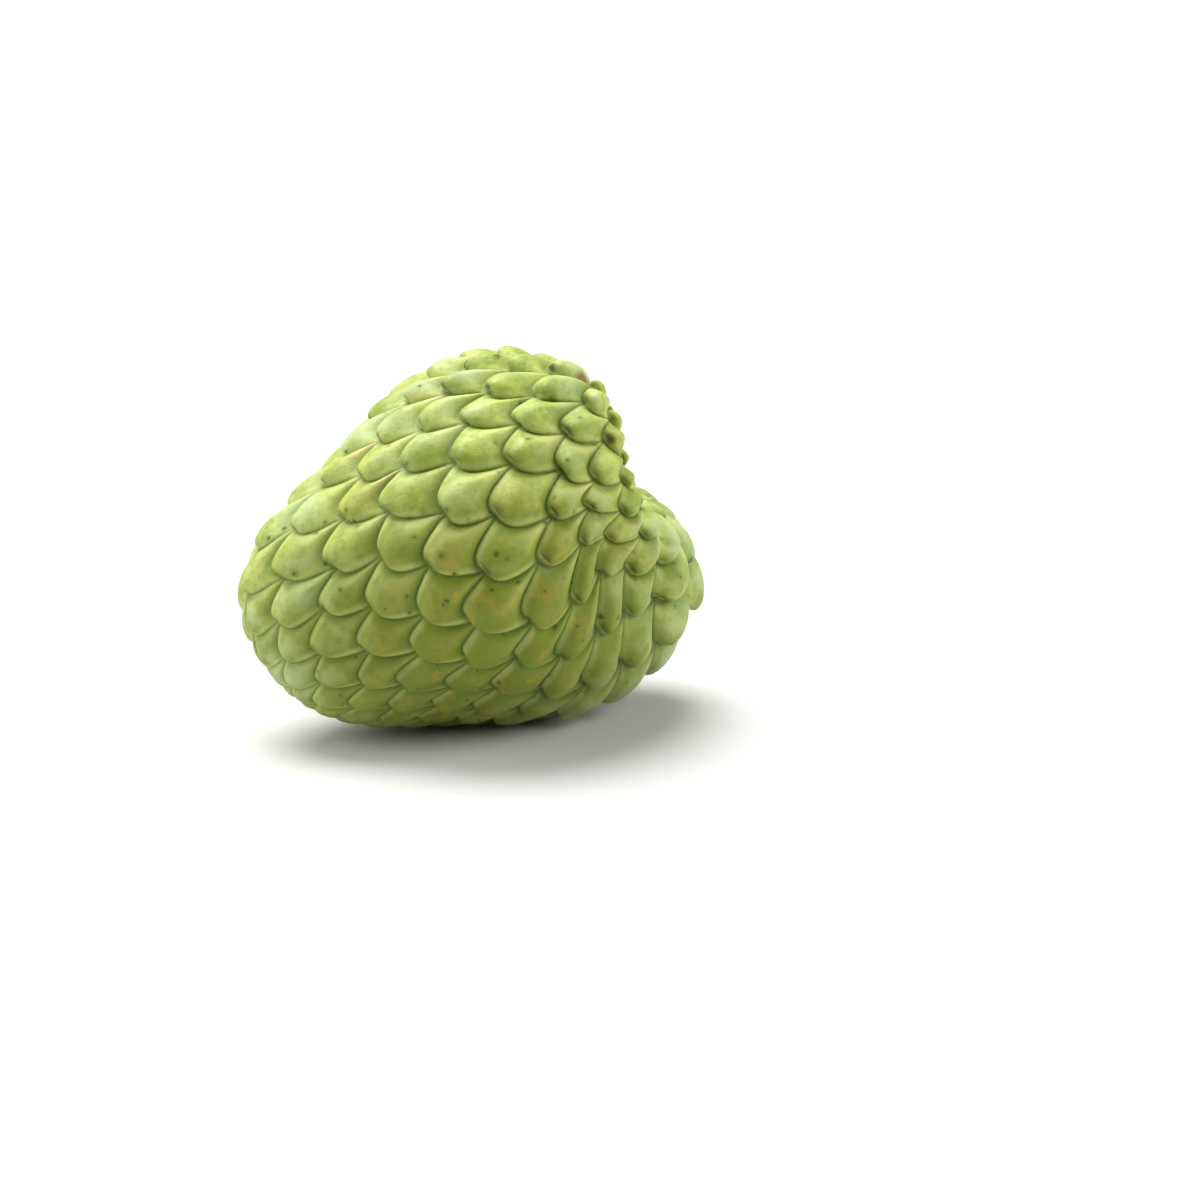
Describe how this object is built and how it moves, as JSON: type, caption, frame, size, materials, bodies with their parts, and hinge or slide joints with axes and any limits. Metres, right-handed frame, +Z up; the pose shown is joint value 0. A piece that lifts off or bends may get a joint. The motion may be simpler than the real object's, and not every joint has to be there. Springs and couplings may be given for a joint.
{
  "type": "custard apple",
  "caption": "Whole lopsided heart-shaped custard apple with fleshy overlapping scales and a short stalk stub, lying on its flank.",
  "frame": {"origin": "on the surface that the fruit rests on, below the middle of its footprint", "axes": "+Z up, -Y towards the viewer, +X to the viewer's right: the stalk end points up to the right and a little back, the tip down to the left"},
  "size_m": [0.1154, 0.0974, 0.0931],
  "materials": {
    "rind": "waxy satin, yellow-green with paler scale edges",
    "stalk": "dry matt bark, paler on the cut"
  },
  "bodies": {
    "root": {"fruit": "rind", "stalk_stub": "stalk"}
  },
  "joints": []
}
